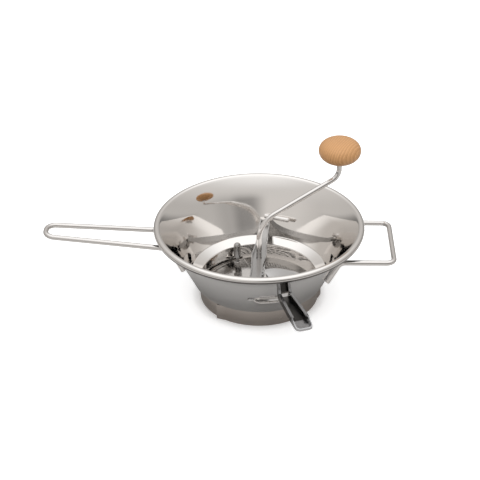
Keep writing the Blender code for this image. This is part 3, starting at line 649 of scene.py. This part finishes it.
disc_top = disc_low + disc_thick
outer_lift = dome_lift(holes_outer)
inner_lift = dome_lift(holes_inner)
pivot_lift = dome_lift(pivot)
edge_line = [(disc_radius, disc_low), (dome_radius, disc_low), (seam_outer, disc_low + outer_lift),
             (seam_outer, disc_top + outer_lift), (dome_radius, disc_top), (disc_radius, disc_top),
             (disc_radius, disc_low)]
centre_line = [(pivot, disc_low + pivot_lift), (seam_inner, disc_low + inner_lift),
               (seam_inner, disc_top + inner_lift), (pivot, disc_top + pivot_lift),
               (pivot, disc_low + pivot_lift)]
work = turned(edge_line, 240)
centre_mesh = bpy.data.meshes.new("plain_centre")
plain_centre = turned(centre_line, 120)
plain_centre.to_mesh(centre_mesh)
plain_centre.free()
work.from_mesh(centre_mesh)
bpy.data.meshes.remove(centre_mesh)
bmesh.ops.translate(work, verts=work.verts, vec=axis)
disc = shown("sieve_plate", work, (disc_skin,), 30)
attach(disc, "mill_body")
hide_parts("sieve_disc")


# Handles: two loops of round stainless rod, bent down at their ends and welded to the cone.
# The long one is narrow and rises to its tip, the short one is a wide square loop.
rod_skin = steel("rod_polish", (0.76, 0.735, 0.715), 0.10, 0.2, 0.02 * MM, 0.0)
rod_radius = 3.0 * MM
rod_stand_off = 1.3 * MM + rod_radius
rod_rounds = 14
foot_round = 9 * MM


def bent_rod(name, path, radius, skin):
    # A round rod along a line of points, as one closed mesh.
    data = bpy.data.curves.new(name, "CURVE")
    data.dimensions = "3D"
    data.bevel_depth = radius
    data.bevel_resolution = 7
    data.use_fill_caps = True
    data.resolution_u = 1
    rod = data.splines.new("POLY")
    rod.points.add(len(path) - 1)
    for spot, point in zip(rod.points, path):
        spot.co = (*(point + axis), 1)
    piece = bpy.data.objects.new(name, data)
    bpy.context.scene.collection.objects.link(piece)
    bpy.context.view_layer.update()
    mesh = bpy.data.meshes.new_from_object(piece.evaluated_get(bpy.context.evaluated_depsgraph_get()))
    bpy.data.objects.remove(piece)
    work = bmesh.new()
    work.from_mesh(mesh)
    bpy.data.meshes.remove(mesh)
    bmesh.ops.remove_doubles(work, verts=work.verts, dist=weld_distance)
    bmesh.ops.recalc_face_normals(work, faces=work.faces)
    return shown(name, work, (skin,), 50)


# Each handle: its side, half its width, the heights of its foot and bend, its reach from the axis,
# and half the width, the height and the rounding of its tip.
for name, node, side, half, foot, bend, reach, tip_half, tip_height, tip_round in (
        ("long_handle_rod", "long_handle", -1, 20 * MM, 43 * MM, 72 * MM,
         243 * MM, 13 * MM, 84.3 * MM, 11.5 * MM),
        ("short_handle_rod", "short_handle", 1, 44 * MM, 43 * MM, 68.6 * MM,
         152 * MM, 44 * MM, 68 * MM, 9 * MM)):
    on_cone = [side * math.sqrt(cone_point(z, rod_stand_off)[0] ** 2 - half ** 2) for z in (foot, bend)]
    half_path = [(on_cone[0], -half, foot), (on_cone[1], -half, bend),
                 (side * reach, -tip_half, tip_height)]
    whole = half_path + [(x, -y, z) for x, y, z in reversed(half_path)]
    line = filleted(whole, (foot_round, tip_round, tip_round, foot_round), rod_rounds)
    rod = bent_rod(name, line, rod_radius, rod_skin)
    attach(rod, "mill_body")
    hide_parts(node)


# Rest bracket: a pressed channel with turned up flanges and a rounded tray at its end.
# It is spot welded to the cone in front of the slot and rests on a pan's edge. Its inside is painted dark
# as shade.
bracket_skin = steel("bracket_pressed", (0.52, 0.52, 0.53), 0.12, 0.3, 0.1 * MM, 0.0)
bracket_painted_shade = steel("bracket_inside_painted_shade", (0.10, 0.096, 0.092), 0.3, 0.45, 0.1 * MM, 0.0)
bracket_angle = math.radians(-71.5)
arm_end = 137.5 * MM
channel_half = 8.9 * MM
channel_floor = 0.8 * MM
channel_brim = 0.9 * MM


def cad_copy(node):
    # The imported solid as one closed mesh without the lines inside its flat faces.
    work = bmesh.new()
    work.from_mesh(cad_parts[node].data)
    bmesh.ops.remove_doubles(work, verts=work.verts, dist=0.005 * MM)
    bmesh.ops.dissolve_limit(work, angle_limit=math.radians(1), verts=work.verts, edges=work.edges)
    return work


bracket_low, bracket_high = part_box("rest_bracket")
bracket_run = Vector((math.cos(bracket_angle), math.sin(bracket_angle), 0))
work = cad_copy("rest_bracket")
bmesh.ops.bisect_plane(work, geom=[*work.verts, *work.edges, *work.faces], dist=0.001 * MM,
                       plane_co=axis + bracket_run * arm_end, plane_no=bracket_run)
for face in work.faces:
    middle = face.calc_center_median()
    along = (middle - axis).dot(bracket_run)
    aside = abs((middle - axis).cross(bracket_run).z)
    # Painted shade: the channel's inner faces, between its floor and brim, take the dark steel.
    inner = (aside < channel_half
             and bracket_low.z + channel_floor < middle.z < bracket_high.z - channel_brim)
    if inner and along < arm_end and abs(face.normal.dot(bracket_run)) < 0.5:
        face.material_index = 1
bracket = shown("rest_bracket_pressed", work, (bracket_skin, bracket_painted_shade), 30)
softened(bracket, 0.4 * MM, 3, 40)
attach(bracket, "mill_body")
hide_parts("rest_bracket")


# Crossbar: a pressed steel strip with turned up edges, widest at the spindle hole.
# Its front tongue locks in the slot and its rear tongue under the nib.
crossbar_skin = steel("crossbar_satin", (0.50, 0.495, 0.49), 0.16, 0.28, 0.05 * MM, 0.0)
crossbar = shown("crossbar_strip", cad_copy("crossbar"), (crossbar_skin,), 30)
softened(crossbar, 0.35 * MM, 3, 40)
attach(crossbar, "crossbar_group")
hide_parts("crossbar")


# Crossbar peg: a round steel bar welded across the strip's rear end.
# A finger pushes it to turn the crossbar.
peg_radius = 2.8 * MM
peg_end = 30.6 * MM
peg_start = -1.2 * MM
peg_edge = 0.5 * MM
peg_back = 82.49 * MM
peg_turn = math.radians(-21)
bar_angle = math.radians(-95.5)
peg_low, peg_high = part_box("crossbar_peg")
peg_place = Vector((-peg_back * math.cos(bar_angle), -peg_back * math.sin(bar_angle),
                    0.5 * (peg_low.z + peg_high.z)))
peg_line = [(peg_radius * math.sin(math.radians(a)),
             peg_end - peg_radius + peg_radius * math.cos(math.radians(a))) for a in range(0, 91, 10)]
peg_line += [(peg_radius, peg_start + peg_edge), (peg_radius - peg_edge, peg_start), (0, peg_start)]
work = turned(peg_line, 40)
lay = Matrix.Rotation(peg_turn, 4, "Z") @ Matrix.Rotation(math.radians(90), 4, "Y")
bmesh.ops.transform(work, verts=work.verts, matrix=lay)
bmesh.ops.translate(work, verts=work.verts, vec=axis + peg_place)
peg = shown("crossbar_peg_bar", work, (rod_skin,))
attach(peg, "crossbar_group")
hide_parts("crossbar_peg")


# Pressing blade: one sheet that winds up round the hub, from a sole that presses on the disc
# to a raised leading edge that gathers the food.
blade_skin = steel("blade_polish", (0.52, 0.51, 0.50), 0.12, 0.22, 0.25 * MM, 0.004 * MM, 700.0)
blade_inner = 9.3 * MM
blade_outer = 63.0 * MM
blade_first = math.radians(106)
blade_last = math.radians(365)
blade_sweep = math.radians(80)
blade_lift = 11.0 * MM
blade_gap = 0.6 * MM
blade_sheet = 1.2 * MM
sole_share = 0.12
work = bmesh.new()
bmesh.ops.create_grid(work, x_segments=150, y_segments=30, size=1.0)
for vert in work.verts:
    share = 0.5 * (1.0 - vert.co.x)
    out = 0.5 * (1.0 + vert.co.y)
    last = blade_last + blade_sweep * (1.0 - out) ** 2
    angle = blade_first + (last - blade_first) * share
    radius = blade_inner + (blade_outer - blade_inner) * out
    climb = max(0.0, share - sole_share) / (1.0 - sole_share)
    height = disc_low + disc_thick + dome_lift(radius) + blade_gap + blade_lift * climb
    vert.co = (radius * math.cos(angle), radius * math.sin(angle), height)
facing_up(work)
bmesh.ops.translate(work, verts=work.verts, vec=axis)
blade = shown("pressing_blade", work, (blade_skin,), 50)
blade_body = blade.modifiers.new("sheet", "SOLIDIFY")
blade_body.thickness = blade_sheet
blade_body.offset = 1.0
softened(blade, 0.3 * MM, 2, 50)
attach(blade, "crank")
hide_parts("blade")


# Hub, cross pin, spring and its two seats: turned and wound steel round the spindle.
# The spring stands between its seats and pushes the hub and blade down on the disc.
hub_skin = steel("hub_turned", (0.7, 0.69, 0.68), 0.14, 0.24, 0.0, 0.004 * MM)
spring_skin = steel("spring_wire", (0.6, 0.6, 0.6), 0.15, 0.25, 0.0, 0.0)
bore = 3.3 * MM
hub_radius = 9 * MM
hub_top_radius = 7.8 * MM
hub_slope = 1.6 * MM
hub_rounds = (0.8 * MM, 0.8 * MM, 0.3 * MM)
seat_radius = 8.0 * MM
seat_rounds = (0.3 * MM, 0.3 * MM)
coil_radius = 6.3 * MM
coil_wire = 0.7 * MM
coil_curls = 5
curl_points = 36
hub_low, hub_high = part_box("blade_hub")
hub_line = filleted([(bore, hub_high.z), (hub_top_radius, hub_high.z),
                     (hub_radius, hub_high.z - hub_slope), (hub_radius, hub_low.z),
                     (bore, hub_low.z)], hub_rounds, 4)
work = turned(hub_line + hub_line[:1], 72)
bmesh.ops.translate(work, verts=work.verts, vec=axis)
hub = shown("blade_hub_turned", work, (hub_skin,), 50)
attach(hub, "crank")
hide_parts("blade_hub")
for node, body in (("lower_seat", "spring_group"), ("upper_seat", "crossbar_group")):
    low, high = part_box(node)
    seat_line = filleted([(bore, high.z), (seat_radius, high.z), (seat_radius, low.z), (bore, low.z)],
                         seat_rounds, 3)
    work = turned(seat_line + seat_line[:1], 64)
    bmesh.ops.translate(work, verts=work.verts, vec=axis)
    seat = shown(node + "_washer", work, (hub_skin,), 50)
    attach(seat, body)
    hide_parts(node)
spring_low, spring_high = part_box("spring")
coil = []
for k in range(coil_curls * curl_points + 1):
    turn = 2 * math.pi * k / curl_points
    rise = (spring_high.z - spring_low.z - 2 * coil_wire) * k / (coil_curls * curl_points)
    coil.append(Vector((coil_radius * math.cos(turn), coil_radius * math.sin(turn),
                        spring_low.z + coil_wire + rise)))
spring = bent_rod("pressure_spring", coil, coil_wire, spring_skin)
foot = Vector((axis.x, axis.y, spring_low.z))
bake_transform(spring)
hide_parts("spring")
hub_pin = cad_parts["hub_pin"]
hub_pin.data.materials.clear()
hub_pin.data.materials.append(hub_skin)


# Crank rod: one round steel bar, bent twice.
# It is the spindle through hub and crossbar, the sloping arm, and the upright end in the knob.
spindle_low = 7.7 * MM
spindle_bend = 94.1 * MM
arm_bend = 134.7 * MM
pin_high = 171.9 * MM
crank_rounds = (31.5 * MM, 14 * MM)
knob_place = Vector((91.605 * MM, 37.011 * MM, 0))
crank_corners = [Vector((0, 0, spindle_low)), Vector((0, 0, spindle_bend)),
                 knob_place + Vector((0, 0, arm_bend)), knob_place + Vector((0, 0, pin_high))]
crank = bent_rod("crank_bar", filleted(crank_corners, crank_rounds, 24), rod_radius, rod_skin)
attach(crank, "crank")
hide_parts("crank_rod")


# Knob: turned from beech with its grain upright, lacquered, free to spin on the crank's end.
# A steel collar below it and a clip in its bore keep it there.
knob_low, knob_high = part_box("knob")
knob_axis = Vector((0.5 * (knob_low.x + knob_high.x), 0.5 * (knob_low.y + knob_high.y), 0))
knob_radius = 24.5 * MM
knob_middle = 0.5 * (knob_low.z + knob_high.z)
knob_half = 0.5 * (knob_high.z - knob_low.z)
socket_radius = 3.4 * MM
socket_depth = 10.3 * MM
socket_edge = 0.6 * MM
tree_heart = (55 * MM, -30 * MM)
knob_skin = bpy.data.materials.new("knob_beech")
knob_skin.use_nodes = True
nodes = knob_skin.node_tree.nodes
links = knob_skin.node_tree.links
shader = nodes["Principled BSDF"]
shader.inputs["Coat Weight"].default_value = 0.25
shader.inputs["Coat Roughness"].default_value = 0.25
where = nodes.new("ShaderNodeTexCoord")
heart = nodes.new("ShaderNodeMapping")
heart.inputs["Location"].default_value = (tree_heart[0] - knob_axis.x, tree_heart[1] - knob_axis.y, 0)
wobble = nodes.new("ShaderNodeTexNoise")
wobble.inputs["Scale"].default_value = 30
wobble.inputs["Detail"].default_value = 2
grown = nodes.new("ShaderNodeVectorMath")
grown.operation = "MULTIPLY_ADD"
grown.inputs[1].default_value = (0.006, 0.006, 0.0)
rings = nodes.new("ShaderNodeTexWave")
rings.wave_type = "RINGS"
rings.rings_direction = "Z"
rings.wave_profile = "SAW"
rings.inputs["Scale"].default_value = 120
rings.inputs["Distortion"].default_value = 0.6
rings.inputs["Detail"].default_value = 2
fibre_place = nodes.new("ShaderNodeMapping")
fibre_place.inputs["Scale"].default_value = (1, 1, 0.06)
fibres = nodes.new("ShaderNodeTexNoise")
fibres.inputs["Scale"].default_value = 1400
fibres.inputs["Detail"].default_value = 3
fleck_place = nodes.new("ShaderNodeMapping")
fleck_place.inputs["Scale"].default_value = (1, 1, 0.22)
flecks = nodes.new("ShaderNodeTexVoronoi")
flecks.inputs["Scale"].default_value = 620
fleck_mask = nodes.new("ShaderNodeMapRange")
fleck_mask.inputs["From Min"].default_value = 0.10
fleck_mask.inputs["From Max"].default_value = 0.22
fleck_mask.inputs["To Min"].default_value = 1.0
fleck_mask.inputs["To Max"].default_value = 0.0
ring_tone = nodes.new("ShaderNodeValToRGB")
ring_tone.color_ramp.elements[0].color = (0.72, 0.40, 0.175, 1)
ring_tone.color_ramp.elements[1].color = (0.56, 0.285, 0.11, 1)
ring_tone.color_ramp.elements[1].position = 0.95
fibre_tone = nodes.new("ShaderNodeMix")
fibre_tone.data_type = "RGBA"
fibre_tone.blend_type = "MULTIPLY"
fibre_tone.inputs["B"].default_value = (0.80, 0.72, 0.66, 1)
fibre_amount = nodes.new("ShaderNodeMapRange")
fibre_amount.inputs["From Min"].default_value = 0.42
fibre_amount.inputs["From Max"].default_value = 0.7
fibre_amount.inputs["To Max"].default_value = 0.8
fleck_tone = nodes.new("ShaderNodeMix")
fleck_tone.data_type = "RGBA"
fleck_tone.inputs["B"].default_value = (0.40, 0.19, 0.075, 1)
fleck_amount = nodes.new("ShaderNodeMath")
fleck_amount.operation = "MULTIPLY"
fleck_amount.inputs[1].default_value = 0.45
grain_bump = nodes.new("ShaderNodeBump")
grain_bump.inputs["Distance"].default_value = 0.02 * MM
lacquer = nodes.new("ShaderNodeMapRange")
lacquer.inputs["To Min"].default_value = 0.38
lacquer.inputs["To Max"].default_value = 0.55
links.new(where.outputs["Object"], heart.inputs["Vector"])
links.new(heart.outputs["Vector"], wobble.inputs["Vector"])
links.new(wobble.outputs["Color"], grown.inputs[0])
links.new(heart.outputs["Vector"], grown.inputs[2])
links.new(grown.outputs["Vector"], rings.inputs["Vector"])
links.new(rings.outputs["Fac"], ring_tone.inputs["Fac"])
links.new(heart.outputs["Vector"], fibre_place.inputs["Vector"])
links.new(fibre_place.outputs["Vector"], fibres.inputs["Vector"])
links.new(fibres.outputs["Fac"], fibre_amount.inputs["Value"])
links.new(heart.outputs["Vector"], fleck_place.inputs["Vector"])
links.new(fleck_place.outputs["Vector"], flecks.inputs["Vector"])
links.new(flecks.outputs["Distance"], fleck_mask.inputs["Value"])
links.new(fleck_mask.outputs["Result"], fleck_amount.inputs[0])
links.new(ring_tone.outputs["Color"], fibre_tone.inputs["A"])
links.new(fibre_amount.outputs["Result"], fibre_tone.inputs["Factor"])
links.new(fibre_tone.outputs["Result"], fleck_tone.inputs["A"])
links.new(fleck_amount.outputs["Value"], fleck_tone.inputs["Factor"])
links.new(fleck_tone.outputs["Result"], shader.inputs["Base Color"])
links.new(fibres.outputs["Fac"], grain_bump.inputs["Height"])
links.new(grain_bump.outputs["Normal"], shader.inputs["Normal"])
links.new(fibres.outputs["Fac"], lacquer.inputs["Value"])
links.new(lacquer.outputs["Result"], shader.inputs["Roughness"])
# The knob's outline, as shares of half its height and of its radius, from its top down.
knob_shares = ((1.0, 0.0), (1.0, 0.2), (0.975, 0.4), (0.87, 0.64), (0.66, 0.83), (0.38, 0.96),
               (0.05, 1.0), (-0.28, 0.96), (-0.56, 0.84), (-0.78, 0.66), (-0.93, 0.46), (-0.99, 0.31))
knob_line = [(knob_radius * out, knob_middle + knob_half * up) for up, out in knob_shares]
knob_line += [(socket_radius + socket_edge, knob_low.z), (socket_radius, knob_low.z + socket_edge),
              (socket_radius, knob_low.z + socket_depth)]
work = turned(knob_line, 48)
bmesh.ops.translate(work, verts=work.verts, vec=knob_axis)
knob = shown("knob_beech_turned", work, (knob_skin,), 60)
knob_round = knob.modifiers.new("turned_smooth", "SUBSURF")
knob_round.levels = 2
knob_round.render_levels = 2
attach(knob, "knob_body")
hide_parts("knob")
for node in ("knob_collar", "knob_clip"):
    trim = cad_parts[node]
    trim.data.materials.clear()
    trim.data.materials.append(hub_skin)


# Guide stud: a round headed steel post on a star shaped washer.
# Both are riveted to the blade's trailing corner.
stud_skin = steel("stud_turned", (0.34, 0.33, 0.32), 0.1, 0.2, 0.0, 0.003 * MM)
stud_low, stud_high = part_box("guide_stud")
stud_axis = Vector((0.5 * (stud_low.x + stud_high.x), 0.5 * (stud_low.y + stud_high.y), 0))
stud_radius = 4.3 * MM
shank_radius = 2.0 * MM
head_low = 17.0 * MM
head_edge = 0.5 * MM
stud_line = [(stud_radius * math.sin(math.radians(a)),
              stud_high.z - stud_radius + stud_radius * math.cos(math.radians(a))) for a in range(0, 91, 9)]
stud_line += [(stud_radius, head_low + head_edge), (stud_radius - head_edge, head_low),
              (shank_radius, head_low), (shank_radius, stud_low.z), (0, stud_low.z)]
work = turned(stud_line, 48)
bmesh.ops.translate(work, verts=work.verts, vec=stud_axis)
stud = shown("guide_stud_turned", work, (stud_skin,), 50)
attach(stud, "crank")
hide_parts("guide_stud")
star = shown("star_washer_stamped", cad_copy("star_washer"), (rod_skin,), 30)
softened(star, 0.2 * MM, 2, 30)
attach(star, "crank")
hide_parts("star_washer")


low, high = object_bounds()
